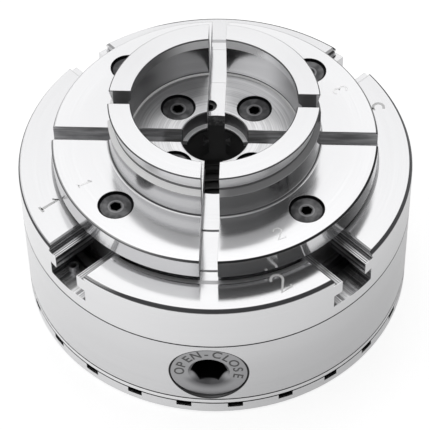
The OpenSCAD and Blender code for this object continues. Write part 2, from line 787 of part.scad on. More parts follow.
// Section of the jaws: flange, collar with its two lips, and centre bore
function jaw_outline() =
  let (
    wall_r = collar_d / 2,
    groove_r = lip_d / 2 - dovetail,
    groove_z = top_z - outer_lip_h,
    inner_r = collar_in_d / 2,
    ledge_top = top_z - inner_lip_h,
    lip_ledge = inner_r - mouth_d / 2 - lip_flare,
    bore_r = jaw_bore_d / 2,
    lip_r = jaw_lip_d / 2,
    lip_top = jaw_z + jaw_lip_t,
    fillet = [for (a = [0:22.5:90])
      [wall_r + collar_fillet * (1 - sin(a)), flange_z + collar_fillet * (1 - cos(a))]]
  )
  concat(
    [
      [lip_r, jaw_z],
      [jaw_d / 2 - flange_bevel, jaw_z],
      [jaw_d / 2, jaw_z + flange_bevel],
      [jaw_d / 2, flange_z - flange_bevel],
      [jaw_d / 2 - flange_bevel, flange_z]
    ],
    fillet,
    [
      [wall_r, groove_z - lip_groove_h - wall_r + groove_r],
      [groove_r, groove_z - lip_groove_h],
      [groove_r, groove_z],
      [lip_d / 2, top_z - mouth_bevel],
      [lip_d / 2 - mouth_bevel, top_z],
      [mouth_d / 2 + mouth_bevel, top_z],
      [mouth_d / 2, top_z - mouth_bevel],
      [mouth_d / 2 + lip_flare, ledge_top],
      [inner_r, ledge_top - lip_ledge],
      [inner_r, flange_z],
      [bore_r + mouth_bevel, flange_z],
      [bore_r, flange_z - mouth_bevel],
      [bore_r, lip_top],
      [lip_r + mouth_bevel, lip_top],
      [lip_r, lip_top - mouth_bevel]
    ]
  );

// One quarter of the jaw ring, with its screw seats and the keyway for its slide
module top_jaw(k) {
  hole_r = jaw_screw_d / 2 + jaw_screw_fit;
  cone_h = jaw_head_d / 2 - hole_r;
  color([0.84, 0.84, 0.85]) rotate([0, 0, slot_angles[k - 1]]) difference() {
    intersection() {
      turned(jaw_outline());
      rotate([0, 0, -45]) translate([jaw_gap / 2, jaw_gap / 2, jaw_z - over])
        cube([jaw_d, jaw_d, top_z - jaw_z + 2 * over]);
    }
    for (u = [inner_screw_u, outer_screw_u]) translate([u, 0, 0]) {
      translate([0, 0, jaw_cone_z]) cylinder(r = jaw_cbore_d / 2, h = jaw_cbore_depth + over);
      translate([0, 0, jaw_cone_z - cone_h]) cylinder(r1 = hole_r, r2 = jaw_head_d / 2, h = cone_h);
      translate([0, 0, jaw_z - over]) cylinder(r = hole_r, h = flange_t);
    }
    translate([slide_in - key_fit, -slide_half - key_fit, jaw_z - over])
      cube([slide_out - slide_in + 2 * key_fit, 2 * (slide_half + key_fit), key_h + over]);
  }
}

module jaw_screws(k) {
  cone_h = jaw_head_d / 2 - jaw_screw_d / 2;
  color([0.22, 0.22, 0.23]) rotate([0, 0, slot_angles[k - 1]])
    for (u = [inner_screw_u, outer_screw_u]) translate([u, 0, 0]) difference() {
      union() {
        translate([0, 0, jaw_cone_z]) cylinder(r = jaw_head_d / 2, h = head_rim);
        translate([0, 0, jaw_cone_z - cone_h])
          cylinder(r1 = jaw_screw_d / 2, r2 = jaw_head_d / 2, h = cone_h);
        translate([0, 0, jaw_head_z - jaw_screw_len])
          cylinder(r = jaw_screw_d / 2, h = jaw_screw_len - head_rim - cone_h);
      }
      translate([0, 0, jaw_head_z - screw_socket_depth])
        hexagon_hole(jaw_screw_af, screw_socket_depth + over);
    }
}

front_body();
rear_housing();
gear_cover();
index_ring();
spindle_insert();
case_screws();
case_dowels();
stop_pins();
set_screw();
scroll_gear();
bevel_pinion();
pinion_pin();
jaw_slide(1);  // jaw_slide_1
jaw_slide(2);  // jaw_slide_2
jaw_slide(3);  // jaw_slide_3
jaw_slide(4);  // jaw_slide_4
top_jaw(1);  // top_jaw_1
top_jaw(2);  // top_jaw_2
top_jaw(3);  // top_jaw_3
top_jaw(4);  // top_jaw_4
jaw_screws(1);  // jaw_screws_1
jaw_screws(2);  // jaw_screws_2
jaw_screws(3);  // jaw_screws_3
jaw_screws(4);  // jaw_screws_4
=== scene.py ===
"""Looks of the wood lathe chuck: finishes, thread, numerals, studio and camera."""
import bmesh
import bpy
import math
from mathutils import Matrix, Vector

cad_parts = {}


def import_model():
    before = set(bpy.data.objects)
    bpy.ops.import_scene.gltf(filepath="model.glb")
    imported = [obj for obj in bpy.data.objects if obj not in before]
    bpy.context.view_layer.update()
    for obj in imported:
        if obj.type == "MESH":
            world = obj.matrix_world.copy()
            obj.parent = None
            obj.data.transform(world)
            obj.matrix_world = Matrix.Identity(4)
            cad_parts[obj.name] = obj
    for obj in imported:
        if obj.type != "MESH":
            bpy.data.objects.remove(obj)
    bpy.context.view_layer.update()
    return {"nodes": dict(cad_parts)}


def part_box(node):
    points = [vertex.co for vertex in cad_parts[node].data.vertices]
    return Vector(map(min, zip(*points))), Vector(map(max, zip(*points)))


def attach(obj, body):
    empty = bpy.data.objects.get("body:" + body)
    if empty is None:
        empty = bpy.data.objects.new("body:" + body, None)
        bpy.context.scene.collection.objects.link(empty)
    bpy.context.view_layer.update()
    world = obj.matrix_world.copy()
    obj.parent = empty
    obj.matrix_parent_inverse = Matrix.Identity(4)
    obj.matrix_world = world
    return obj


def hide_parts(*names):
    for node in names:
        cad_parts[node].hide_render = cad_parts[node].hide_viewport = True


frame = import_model()

MM = 0.001
MERGE_DISTANCE = 1e-7
BODY = "chuck_body"

# Each jaw's number and the angle of its slot, in degrees
JAWS = {1: -135, 2: -45, 3: 45, 4: 135}

# Camera, as fitted to the photograph
IMAGE_PX = 430
SENSOR_MM = 36
FOCAL_PX = 2202.7
CENTRE_PX = (216.35, 215.27)
CAMERA_DISTANCE = 0.5706
CAMERA_TARGET = Vector((0, 0, 0.01864))
CAMERA_ELEVATION = math.radians(49.73)
CAMERA_AZIMUTH = math.radians(3.07)
CAMERA_ROLL = math.radians(-1.16)
CAMERA_CLIP = (0.01, 20)

# Case: its face, slots and bore, and the heights of the seams round it
LAND_H = 0.38 * MM
LAND_RADII = (24.8 * MM, 37.1 * MM)
BODY_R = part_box("front_body")[1].x
FACE_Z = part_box("front_body")[1].z - 2 * LAND_H
SEAM_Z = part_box("rear_housing")[1].z
CASE_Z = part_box("rear_housing")[0].z
COVER_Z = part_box("index_ring")[1].z
RIM_W = 0.6 * MM
RIM_DEPTH = 0.8 * MM
SLOT_HALF = 7.2 * MM
BORE_R = 13.2 * MM
BORE_LIGHT_DEPTH = 2.6 * MM
NOTCH_FLOOR_Z = 2.75 * MM
SEAM_HALF = 0.2 * MM
STEP_HALF = 0.08 * MM

# Jaws: flange, collar with its lips, and the hole in their middle
COLLAR_H = 13.4 * MM
JAW_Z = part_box("top_jaw_1")[0].z
TOP_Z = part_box("top_jaw_1")[1].z
FLANGE_Z = TOP_Z - COLLAR_H
FLANGE_R = 40.6 * MM
COLLAR_R = 26.3 * MM
COLLAR_TOP_R = 25.8 * MM
WALL_R = 21.5 * MM
WALL_TOP_Z = TOP_Z - 3.4 * MM
EDGE_W = 0.3 * MM
EDGE_Z = TOP_Z - EDGE_W
MOUTH_R = 20.4 * MM
INNER_LIP_R = 20.85 * MM
INNER_LIP_Z = TOP_Z - 3.35 * MM
LIP_R = 26.05 * MM
OUTER_LIP_R = 25.1 * MM
OUTER_LIP_Z = TOP_Z - 4.15 * MM
GROOVE_Z = (TOP_Z - 5.0 * MM, TOP_Z - 4.2 * MM)
GROOVE_RADII = (24.5 * MM, 26.1 * MM)
SLOPE_Z = (TOP_Z - 6.2 * MM, TOP_Z - 5.05 * MM)
SLOPE_RADII = (25.0 * MM, 26.25 * MM)
JAW_BORE_R = 8.4 * MM
JAW_LIP_TOP = JAW_Z + 1.45 * MM
JAW_LIP_R = 7.3 * MM

# Jaw screws and the slides below them
SCREW_PLACES = (13.55 * MM, 32.7 * MM)
SCREW_TOP_Z = FLANGE_Z - 0.6 * MM
SCREW_SOCKET_R = 1.5 * MM
SCREW_CHAMFER_R = 1.95 * MM
COUNTERBORE_R = 4.43 * MM
SLIDE_END_R = 10.5 * MM

# Pinion with its key socket
PINION_LOW, PINION_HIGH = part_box("bevel_pinion")
PINION_Z = (PINION_LOW.z + PINION_HIGH.z) / 2
PINION_R = PINION_HIGH.x
KEY_W = 8 * MM
KEY_CORNER_R = KEY_W / math.sqrt(3)
KEY_CONE_DEPTH = 1.2 * MM

# Fillet at the inner foot of each collar part
FOOT_FILLET = 0.45 * MM
FOOT_SINK = 0.02 * MM
FOOT_ARC = math.radians(39)
FOOT_STEPS = 48
FILLET_STEPS = 6

# Etched numerals. Their strokes are NUMERAL_H millimetres high before they are sized, and a
# stroke's width is in millimetres. Turns and the tilt are in degrees.
NUMERAL_H = 5
MARK_H = 0.03 * MM
BODY_NUMERAL_R = 43.6 * MM
BODY_NUMERAL_TURN = 22
BODY_NUMERAL_TILT = 4
BODY_NUMERAL_SIZE = 1.05
BODY_NUMERAL_WIDTH = 0.65
JAW_NUMERAL_R = 35.2 * MM
JAW_NUMERAL_TURN = 17
JAW_NUMERAL_SIZE = 0.7
JAW_NUMERAL_WIDTH = 0.35

# Legend round the key socket
LEGEND = "OPEN-CLOSE"
LEGEND_R = 7.35 * MM
LEGEND_SIZE = 3.5 * MM
LEGEND_SPAN = math.radians(188)
LEGEND_TURN = math.radians(6)
LETTER_H = 0.06 * MM
LETTER_SWELL = 0.05 * MM
LETTER_MIDDLE = 0.35

# Spindle insert with its thread, whose form is shares of the pitch and of the depth
INSERT_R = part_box("spindle_insert")[1].x
INSERT_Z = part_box("spindle_insert")[1].z
INSERT_BODY_R = 15.4 * MM
INSERT_FLANGE_T = 4.56 * MM
INSERT_BEVEL = 0.5 * MM
REGISTER_R = 12.8 * MM
REGISTER_DEPTH = 4 * MM
THREAD_MINOR_R = 11.2 * MM
THREAD_MAJOR_R = 12.7 * MM
THREAD_PITCH = 3.175 * MM
THREAD_LEAD = 1 * MM
THREAD_FORM = ((0.0, 0.0), (0.12, 0.0), (0.44, 1.0), (0.56, 1.0), (0.88, 0.0), (1.0, 0.0))
TURN_STEPS = 96
SPANNER_R = 2 * MM
SPANNER_DEPTH = 3 * MM
SPANNER_PLACE_R = 17.6 * MM
SPANNER_SIDES = 32

# Marks of the tools: how many to the metre, how far they drift round the axis, how deep they are
FINE_LINES = 2600
LINE_DRIFT = 0.35
PLANED_LINES = 1700
SAW_MARKS = 900
SAW_STRETCH = 0.12
LINE_DEPTH = 0.003 * MM
SAW_DEPTH = 0.01 * MM
PIT_DEPTH = 0.02 * MM
GRAIN_DEPTH = 0.01 * MM

# Places on the steel where its roughness, its painted reflections and its painted shade change:
# each pair starts at the first value and is full at the second. Left and right go along x, front
# and back along y.
DULL_RADII = (37 * MM, 33 * MM)
SAWN_SHADE_Z = (FLANGE_Z + 1 * MM, FLANGE_Z + 6 * MM)
WALL_FRONT = (4 * MM, -4 * MM)
WALL_BACK = (-4 * MM, 1 * MM)
WALL_LOW_Z = (FLANGE_Z + 3.5 * MM, FLANGE_Z + 1.5 * MM)
WALL_HIGH_Z = (FLANGE_Z + 4.8 * MM, FLANGE_Z + 6.6 * MM)
WALL_LEFT = (1 * MM, -1 * MM)
WALL_LEFT_END = (-26 * MM, -24 * MM)
WALL_RIGHT = (0, 2 * MM)
WALL_RIGHT_END = (16 * MM, 12.5 * MM)
WALL_FAR_RIGHT = (18.6 * MM, 19 * MM)
WALL_FAR_RIGHT_END = (25 * MM, 22 * MM)
INSIDE_LEFT = (-7 * MM, -18 * MM)
INSIDE_RIGHT = (12 * MM, 19 * MM)
SLOPE_RIGHT = (-4 * MM, 5 * MM)
LIP_LEFT = (-6 * MM, -16 * MM)
LIP_RIGHT_END = (13 * MM, 8 * MM)
BRIM_THIN_LEFT = (-8 * MM, -20 * MM)
BRIM_THINNING = 0.27 * MM
BRIM_LEFT = (2 * MM, -18 * MM)
BRIM_BACK = (0, 8 * MM)
SLOT_FRONT = (10 * MM, 0)
SLOT_DEEP_Z = (FACE_Z - 3.5 * MM, FACE_Z - 6 * MM)
SLOT_DEEP_RADII = (46 * MM, 43 * MM)
RIM_THIN_LEFT = (-12 * MM, -28 * MM)
RIM_THINNING = 0.42 * MM
GLINT_LEFT = (-20 * MM, -33 * MM)
GLINT_LEFT_END = (-38 * MM, -36 * MM)
GLINT_FRONT = (0, -5 * MM)
KEY_SHADE_DEPTH = (-1.5 * MM, -4 * MM)
KEY_SHADE_RADII = (7.5 * MM, 5 * MM)
CASE_FRONT = (-40 * MM, -42 * MM)

# Gloss: the jaws' roughness, the turn of the highlights, and how wide the light rounds an edge
JAW_ROUGHNESS = 0.12
HIGHLIGHT_TURN = 0.25
EDGE_LIGHT = 0.12 * MM
SCREW_EDGE_LIGHT = 0.08 * MM
PINION_EDGE_LIGHT = 0.4 * MM
EDGE_SAMPLES = 4

# Tones that grey() doesn't make
SHADE_TONE = (0.10, 0.10, 0.105)
SOCKET_SHADE = (0.02, 0.02, 0.02)
OXIDE_TONES = ((0.09, 0.09, 0.093), (0.21, 0.21, 0.215))

# Floor: its tone, how it shows to the camera, and the painted light that the steel mirrors in it.
# A turn goes from left to right, an end from outside to inside, and near is the ring of painted
# shadow by the chuck.
FLOOR_HALF = 3.0
FLOOR_DROP = 0.02 * MM
FLOOR_TONE = 0.5
FLOOR_SHOWN = 0.72
TABLE_TURN = (-0.09, 0.10)
TABLE_LIGHT = (0.66, 0.42)
TABLE_END = (0.45, 0.22)
NEAR_TURN = (-0.02, 0.02)
NEAR_SHADE = (0.07, 0.30)
NEAR_END = (0.078, 0.054)

# Sky that the steel mirrors. A rise says where a panel starts and is full in height, which is
# the z of a direction, and a fall is the same downwards. An edge says it across, towards the
# left or the back. The top panel turns from its right to its left light.
SKY_BASE = 0.03
SKY_SPREAD = 0.62
LEFT_EDGE = (-0.10, -0.24)
LEFT_RISE = (0.58, 0.72)
LEFT_LIGHT = 0.92
BACK_EDGE = (0.78, 0.93)
BACK_RISE = (0.58, 0.70)
BACK_LIGHT = 1.12
CREST_RISE = (0.74, 0.80)
CREST_LIGHT = 0.16
CORNER_EDGE = (0.2, 0.8)
CORNER_RISE = (0.55, 0.68)
CORNER_LIGHT = 0.28
TOP_RISE = (0.80, 0.90)
TOP_TURN = (0.3, -0.3)
TOP_LIGHT = (0.45, 0.95)
HORIZON_FALL = (0.64, 0.54)
HORIZON_LIGHT = 0.40
ZENITH_GUARD = 1e-6

# Lamps: azimuth, elevation and brightness. Azimuth 90 is at the back, 180 at the left.
LAMPS = {"back_light": (92, 52, 0.9), "left_light": (178, 46, 0.6)}
LAMP_DISTANCE = 1.1
LAMP_SIZE = (0.8, 0.5)


class Nodes:
    """A node tree, with short calls for the nodes that repeat."""

    def __init__(self, tree):
        self.nodes = tree.nodes
        self.links = tree.links

    def put(self, value, socket):
        if isinstance(value, (int, float)):
            socket.default_value = value
        else:
            self.links.new(value, socket)

    def split(self, vector):
        node = self.nodes.new("ShaderNodeSeparateXYZ")
        self.links.new(vector, node.inputs[0])
        return node.outputs

    def math(self, operation, a, b=0.0):
        node = self.nodes.new("ShaderNodeMath")
        node.operation = operation
        self.put(a, node.inputs[0])
        self.put(b, node.inputs[1])
        return node.outputs[0]

    def add(self, a, b):
        return self.math("ADD", a, b)

    def times(self, *factors):
        """The product of masks or values. A number under 1 among them weakens a mask."""
        product = factors[0]
        for factor in factors[1:]:
            product = self.math("MULTIPLY", product, factor)
        return product

    def most(self, *values):
        """The largest of the values: 1 where any of the masks is 1."""
        largest = values[0]
        for value in values[1:]:
            largest = self.math("MAXIMUM", largest, value)
        return largest

    def hypot(self, a, b):
        return self.math("SQRT", self.add(self.times(a, a), self.times(b, b)))

    def step(self, value, low, high, start=0.0, end=1.0):
        """A smooth step from start at low to end at high. Low may be the larger of the two."""
        node = self.nodes.new("ShaderNodeMapRange")
        node.interpolation_type = "SMOOTHSTEP"
        self.put(value, node.inputs["Value"])
        ends = (low, high, start, end) if low < high else (high, low, end, start)
        for name, number in zip(("From Min", "From Max", "To Min", "To Max"), ends):
            node.inputs[name].default_value = number
        return node.outputs[0]


class Shader(Nodes):
    """A material's tree, with the places and marks on the chuck that its finish follows."""

    def __init__(self, name, colour, roughness, metallic=1.0, anisotropy=0.0):
        self.material = bpy.data.materials.new(name)
        self.material.use_nodes = True
        super().__init__(self.material.node_tree)
        self.principled = self.nodes["Principled BSDF"]
        self.principled.inputs["Base Color"].default_value = (*colour, 1)
        self.principled.inputs["Roughness"].default_value = roughness
        self.principled.inputs["Metallic"].default_value = metallic
        self.principled.inputs["Anisotropic"].default_value = anisotropy
        if anisotropy:
            tangent = self.nodes.new("ShaderNodeTangent")
            tangent.direction_type = "RADIAL"
            tangent.axis = "Z"
            self.links.new(tangent.outputs[0], self.principled.inputs["Tangent"])
            self.principled.inputs["Anisotropic Rotation"].default_value = HIGHLIGHT_TURN
        place = self.nodes.new("ShaderNodeTexCoord")
        self.position = place.outputs["Object"]
        self.normal = place.outputs["Normal"]
        self.x, self.y, self.z = self.split(self.position)
        self.radius = self.hypot(self.x, self.y)

    def below(self, value, limit, soft=0.1 * MM):
        """1 up to the limit, and 0 from a soft width above it."""
        return self.step(value, limit + soft, limit)

    def above(self, value, limit, soft=0.1 * MM):
        """1 from the limit up, and 0 from a soft width below it."""
        return self.step(value, limit - soft, limit)

    def band(self, value, low, high, soft=0.05 * MM):
        """1 between low and high."""
        return self.times(self.above(value, low, soft), self.below(value, high, soft))

    def from_screws(self):
        """Distance from the axis of the nearest jaw screw."""
        near = []
        for u in SCREW_PLACES:
            side = u / math.sqrt(2)
            across = self.math("SUBTRACT", self.math("ABSOLUTE", self.x), side)
            along = self.math("SUBTRACT", self.math("ABSOLUTE", self.y), side)
            near.append(self.hypot(across, along))
        return self.math("MINIMUM", *near)

    def from_slots(self):
        """Distance from the middle of the nearest jaw slot."""
        skew = self.math("SUBTRACT", self.math("ABSOLUTE", self.x), self.math("ABSOLUTE", self.y))
        return self.math("DIVIDE", self.math("ABSOLUTE", skew), math.sqrt(2))

    def above_pinion(self):
        """Height above the pinion's axis."""
        return self.math("SUBTRACT", self.z, PINION_Z)

    def from_pinion(self):
        """Distance from the pinion's axis."""
        return self.hypot(self.x, self.above_pinion())

    def vector(self, x, y, z):
        node = self.nodes.new("ShaderNodeCombineXYZ")
        for value, socket in zip((x, y, z), node.inputs):
            self.put(value, socket)
        return node.outputs[0]

    def noise(self, vector, scale, detail=2.0, w=0.0):
        node = self.nodes.new("ShaderNodeTexNoise")
        node.noise_dimensions = "4D"
        self.links.new(vector, node.inputs["Vector"])
        self.put(w, node.inputs["W"])
        node.inputs["Scale"].default_value = scale
        node.inputs["Detail"].default_value = detail
        return node.outputs["Fac"]

    def mix_value(self, factor, a, b):
        node = self.nodes.new("ShaderNodeMix")
        self.put(factor, node.inputs["Factor"])
        self.put(a, node.inputs["A"])
        self.put(b, node.inputs["B"])
        return node.outputs["Result"]

    def mix_colour(self, factor, a, b):
        node = self.nodes.new("ShaderNodeMix")
        node.data_type = "RGBA"
        self.put(factor, node.inputs["Factor"])
        for colour, socket in ((a, node.inputs[6]), (b, node.inputs[7])):
            if isinstance(colour, tuple):
                socket.default_value = (*colour, 1)
            else:
                self.links.new(colour, socket)
        return node.outputs[2]

    def grooves(self, per_metre, drift):
        """Fine lines that run round the axis, as a turning tool leaves them."""
        along = self.vector(self.radius, self.z, 0.0)
        return self.noise(along, per_metre, detail=3, w=self.times(drift, 4 / per_metre))

    def scratches(self, per_metre, stretch):
        """Short fine lines along the radius, as a cutter leaves them on a flat side."""
        along = self.vector(self.times(self.x, stretch), self.times(self.y, stretch), self.z)
        return self.noise(along, per_metre, detail=4)

    def paint(self, tone, rough, places):
        """Lays places over a tone and a roughness, and over the metal.

        Each place is a mask, a colour, a roughness and a metallic, and covers those before it.
        """
        metal = 1.0
        for mask, colour, roughness, metallic in places:
            tone = self.mix_colour(mask, tone, colour)
            rough = self.mix_value(mask, rough, roughness)
            metal = self.mix_value(mask, metal, metallic)
        if places:
            self.links.new(metal, self.principled.inputs["Metallic"])
        return tone, rough

    def finish(self, colour, roughness, height, depth, edge=EDGE_LIGHT):
        """Links what the finish varies, and rounds the light over the sharp edges."""
        self.links.new(colour, self.principled.inputs["Base Color"])
        self.links.new(roughness, self.principled.inputs["Roughness"])
        rounded = self.nodes.new("ShaderNodeBevel")
        rounded.samples = EDGE_SAMPLES
        rounded.inputs["Radius"].default_value = edge
        bump = self.nodes.new("ShaderNodeBump")
        bump.inputs["Distance"].default_value = depth
        self.links.new(height, bump.inputs["Height"])
        self.links.new(rounded.outputs[0], bump.inputs["Normal"])
        self.links.new(bump.outputs[0], self.principled.inputs["Normal"])
        return self.material


def grey(light):
    """A steel tone: neutral, with a trace of blue."""
    trace = 0.01 if light > 0.4 else 0.005 if light > 0.11 else 0.002
    return (light, light, min(1.0, light + trace))


def turning(s, tones, roughness, spread, broad_lines, fine_share, cloud_scale):
    """Tone, roughness and fine lines of turned steel, a little uneven in gloss and tone."""
    drift = s.times(s.math("DIVIDE", s.y, s.radius), LINE_DRIFT)
    fine = s.grooves(FINE_LINES, drift)
    broad = s.grooves(broad_lines, drift)
    cloud = s.noise(s.position, cloud_scale)
    shade = s.add(s.times(fine, fine_share), s.times(broad, 1 - fine_share))
    tone = s.mix_colour(shade, *tones)
    rough = s.add(s.times(s.add(fine, cloud), spread), roughness - spread)
    return tone, rough, fine


def turned(name, colour, roughness, anisotropy, places=None, edge=EDGE_LIGHT):
    """Turned steel. places(shader) may give places for Shader.paint."""
    s = Shader(name, colour, roughness, anisotropy=anisotropy)
    darker = tuple(c * 0.90 for c in colour)
    lighter = tuple(min(1.0, c * 1.06) for c in colour)
    tone, rough, fine = turning(
        s, (darker, lighter), roughness, spread=0.09, broad_lines=240, fine_share=0.5, cloud_scale=38
    )
    tone, rough = s.paint(tone, rough, places(s) if places else [])
    return s.finish(tone, rough, fine, LINE_DEPTH, edge)


def sawn_faces(s):
    """The flat faces that look into the gaps, away from the screws' counterbores."""
    nx, ny, nz = s.split(s.normal)
    outward = s.math("DIVIDE", s.add(s.times(nx, s.x), s.times(ny, s.y)), s.radius)
    return s.times(
        s.step(s.math("ABSOLUTE", nz), 0.5, 0.2),
        s.step(s.math("ABSOLUTE", outward), 0.75, 0.45),
        s.above(s.from_screws(), COUNTERBORE_R + 0.4 * MM, soft=0.3 * MM),
    )


def sawn_marks_and_shade(s, marks):
    """Saw marks in the gaps' faces, with painted shade high up, where the collar stands."""
    low = s.mix_colour(s.step(marks, 0.3, 0.7), grey(0.42), grey(0.95))
    return s.mix_colour(s.step(s.z, *SAWN_SHADE_Z), low, grey(0.24))


def outer_wall_reflections(s):
    """The collar's wall towards the front, with soft patches of painted reflection."""
    wall = s.times(
        s.below(s.radius, COLLAR_R + 0.2 * MM),
        s.above(s.radius, COLLAR_TOP_R, soft=0.2 * MM),
        s.band(s.z, FLANGE_Z + 0.6 * MM, SLOPE_Z[0]),
        s.step(s.y, *WALL_FRONT),
    )
    foot = s.step(s.z, *WALL_LOW_Z)
    head = s.step(s.z, *WALL_HIGH_Z)
    left = s.times(wall, s.step(s.x, *WALL_LEFT), s.step(s.x, *WALL_LEFT_END))
    near_gap = s.times(s.step(s.x, *WALL_RIGHT), s.step(s.x, *WALL_RIGHT_END))
    far_side = s.times(s.step(s.x, *WALL_FAR_RIGHT), s.step(s.x, *WALL_FAR_RIGHT_END))
    right = s.times(wall, s.most(near_gap, far_side))
    return [
        (left, grey(0.75), 0.22, 1.0),
        (s.times(left, foot), grey(0.62), 0.24, 1.0),
        (s.times(left, head), grey(0.48), 0.24, 1.0),
        (right, grey(0.68), 0.22, 0.98),
        (s.times(right, foot), grey(0.80), 0.22, 0.95),
    ]


def inner_wall_shade(s):
    """The inside of the collar towards the back, with painted shade to the left and to the right."""
    wall = s.times(
        s.below(s.radius, WALL_R + 0.1 * MM),
        s.band(s.z, FLANGE_Z + 0.6 * MM, WALL_TOP_Z),
        s.step(s.y, *WALL_BACK),
    )
    left = s.times(wall, s.step(s.x, *INSIDE_LEFT), 0.62)
    right = s.times(wall, s.step(s.x, *INSIDE_RIGHT), 0.45)
    return [(left, grey(0.12), 0.3, 1.0), (right, grey(0.12), 0.3, 1.0)]


def collar_floor_place(s, fine):
    """The brushed floor inside the collar."""
    floor_mask = s.times(
        s.below(s.radius, WALL_R - 0.15 * MM, soft=0.15 * MM),
        s.band(s.z, FLANGE_Z - 0.1 * MM, FLANGE_Z + 0.1 * MM),
    )
    brushed = s.mix_colour(s.step(fine, 0.3, 0.7), grey(0.74), grey(0.98))
    return floor_mask, brushed, 0.34, 1.0


def collar_places(s):
    """Painted shade and reflections on the collar's turned form: its groove, slope and lips, sharp edges
    and fillets.
    """
    groove = s.times(s.band(s.z, *GROOVE_Z), s.band(s.radius, *GROOVE_RADII))
    slope = s.times(s.band(s.z, *SLOPE_Z), s.band(s.radius, *SLOPE_RADII))
    slope_reflection = s.mix_colour(s.step(s.x, *SLOPE_RIGHT), grey(1.0), grey(0.22))
    inner_lip = s.times(
        s.band(s.z, INNER_LIP_Z, EDGE_Z), s.below(s.radius, INNER_LIP_R), s.step(s.x, *LIP_RIGHT_END)
    )
    lip_reflection = s.mix_colour(s.step(s.x, *LIP_LEFT), grey(0.96), grey(0.16))
    outer_lip = s.times(s.band(s.z, OUTER_LIP_Z, EDGE_Z), s.above(s.radius, OUTER_LIP_R))
    sharp = 0.05 * MM
    mouth_edge = s.below(s.radius, MOUTH_R + EDGE_W - sharp, soft=sharp)
    lip_edge = s.above(s.radius, LIP_R - EDGE_W + sharp, soft=sharp)
    edges = s.times(s.most(mouth_edge, lip_edge), s.above(s.z, EDGE_Z + sharp, soft=sharp))
    inner_foot_shade = s.times(
        s.band(s.z, FLANGE_Z + 0.4 * MM, FLANGE_Z + 0.75 * MM), s.below(s.radius, WALL_R + 0.1 * MM)
    )
    outer_foot_shade = s.times(
        s.band(s.z, FLANGE_Z + 0.2 * MM, FLANGE_Z + 0.65 * MM),
        s.band(s.radius, COLLAR_R - 0.1 * MM, COLLAR_R + 0.5 * MM),
    )
    # Painted shade in the groove, on the sharp edges and at the fillets; painted reflections on the slope
    # and the inner lip; a painted highlight on the outer lip
    return [
        (groove, grey(0.20), 0.4, 1.0),
        (slope, slope_reflection, 0.5, 0.1),
        (inner_lip, lip_reflection, 0.34, 0.15),
        (outer_lip, grey(0.96), 0.30, 0.65),
        (edges, grey(0.18), 0.4, 1.0),
        (inner_foot_shade, grey(0.12), 0.4, 1.0),
        (outer_foot_shade, grey(0.14), 0.4, 1.0),
    ]


def brim_shade(s):
    """A line of painted shade along the flange's bevel, thinner and lighter at the left, lightest at the
    back.
    """
    narrower = s.times(s.step(s.x, *BRIM_THIN_LEFT), -BRIM_THINNING)
    brim = s.times(
        s.above(s.add(s.radius, narrower), FLANGE_R - 0.45 * MM), s.above(s.z, FLANGE_Z - 0.4 * MM)
    )
    tone = s.mix_colour(s.step(s.x, *BRIM_LEFT), grey(0.06), grey(0.24))
    tone = s.mix_colour(s.step(s.y, *BRIM_BACK), tone, grey(0.35))
    return brim, tone, 0.4, 1.0


def jaw_hole_places(s):
    """Painted shade on the wall and lip of the jaws' middle hole, a painted highlight on its ring, and
    painted shade in the screw seats.
    """
    bore_wall_shade = s.times(
        s.below(s.radius, JAW_BORE_R + 0.1 * MM),
        s.band(s.z, JAW_LIP_TOP + 0.1 * MM, FLANGE_Z - 0.4 * MM),
    )
    ring = s.times(
        s.below(s.radius, JAW_BORE_R), s.band(s.z, JAW_LIP_TOP - 0.15 * MM, JAW_LIP_TOP + 0.05 * MM)
    )
    seat_shade = s.times(
        s.below(s.from_screws(), COUNTERBORE_R + 0.1 * MM),
        s.below(s.z, FLANGE_Z - 0.2 * MM, soft=0.15 * MM),
    )
    lip = s.times(
        s.below(s.radius, JAW_LIP_R, soft=0.2 * MM), s.below(s.z, JAW_Z + 0.8 * MM, soft=0.2 * MM)
    )
    return [
        (bore_wall_shade, grey(0.16), 0.4, 0.8),
        (ring, grey(0.90), 0.35, 0.3),
        (seat_shade, grey(0.03), 0.5, 1.0),
        (lip, grey(0.05), 0.5, 0.5),
    ]


def jaw_steel():
    """Polished turned steel, duller near the collar and down the flange's side."""
    s = Shader("jaw_steel", grey(0.80), JAW_ROUGHNESS, anisotropy=0.5)
    tone, rough, fine = turning(
        s,
        (grey(0.75), grey(0.86)),
        JAW_ROUGHNESS,
        spread=0.06,
        broad_lines=200,
        fine_share=0.6,
        cloud_scale=30,
    )
    near_collar = s.step(s.radius, *DULL_RADII)
    side = s.times(
        s.above(s.radius, FLANGE_R - 0.3 * MM, soft=0.3 * MM),
        s.below(s.z, FLANGE_Z - 0.7 * MM, soft=0.2 * MM),
    )
    rough = s.add(rough, s.times(near_collar, 0.05))
    rough = s.add(rough, s.times(side, 0.04))
    marks = s.scratches(SAW_MARKS, SAW_STRETCH)
    sawn = sawn_faces(s)
    places = outer_wall_reflections(s) + inner_wall_shade(s)
    places += [collar_floor_place(s, fine), (sawn, sawn_marks_and_shade(s, marks), 0.42, 0.8)]
    places += collar_places(s) + [brim_shade(s)] + jaw_hole_places(s)
    tone, rough = s.paint(tone, rough, places)
    height = s.mix_value(sawn, s.times(fine, 0.4), s.times(marks, 2.0))
    return s.finish(tone, rough, height, SAW_DEPTH)


def seam_shade(s, *heights):
    """Painted shade in lines round the case where its parts meet."""
    lines = s.most(*[s.band(s.z, z - SEAM_HALF, z + SEAM_HALF, soft=0.04 * MM) for z in heights])
    return s.times(lines, s.above(s.radius, BODY_R - 0.4 * MM, soft=0.2 * MM)), grey(0.04), 0.45, 1.0


def pinion_bore_shade(s):
    """A line of painted shade where the pinion's bore opens on the case, lighter on the wall inside it."""
    front = s.step(s.y, *CASE_FRONT)
    ring = s.times(s.below(s.from_pinion(), PINION_R + 0.24 * MM, soft=0.08 * MM), front)
    outside = s.above(s.radius, BODY_R - 0.1 * MM)
    return ring, s.mix_colour(outside, grey(0.34), grey(0.06)), 0.45, 1.0


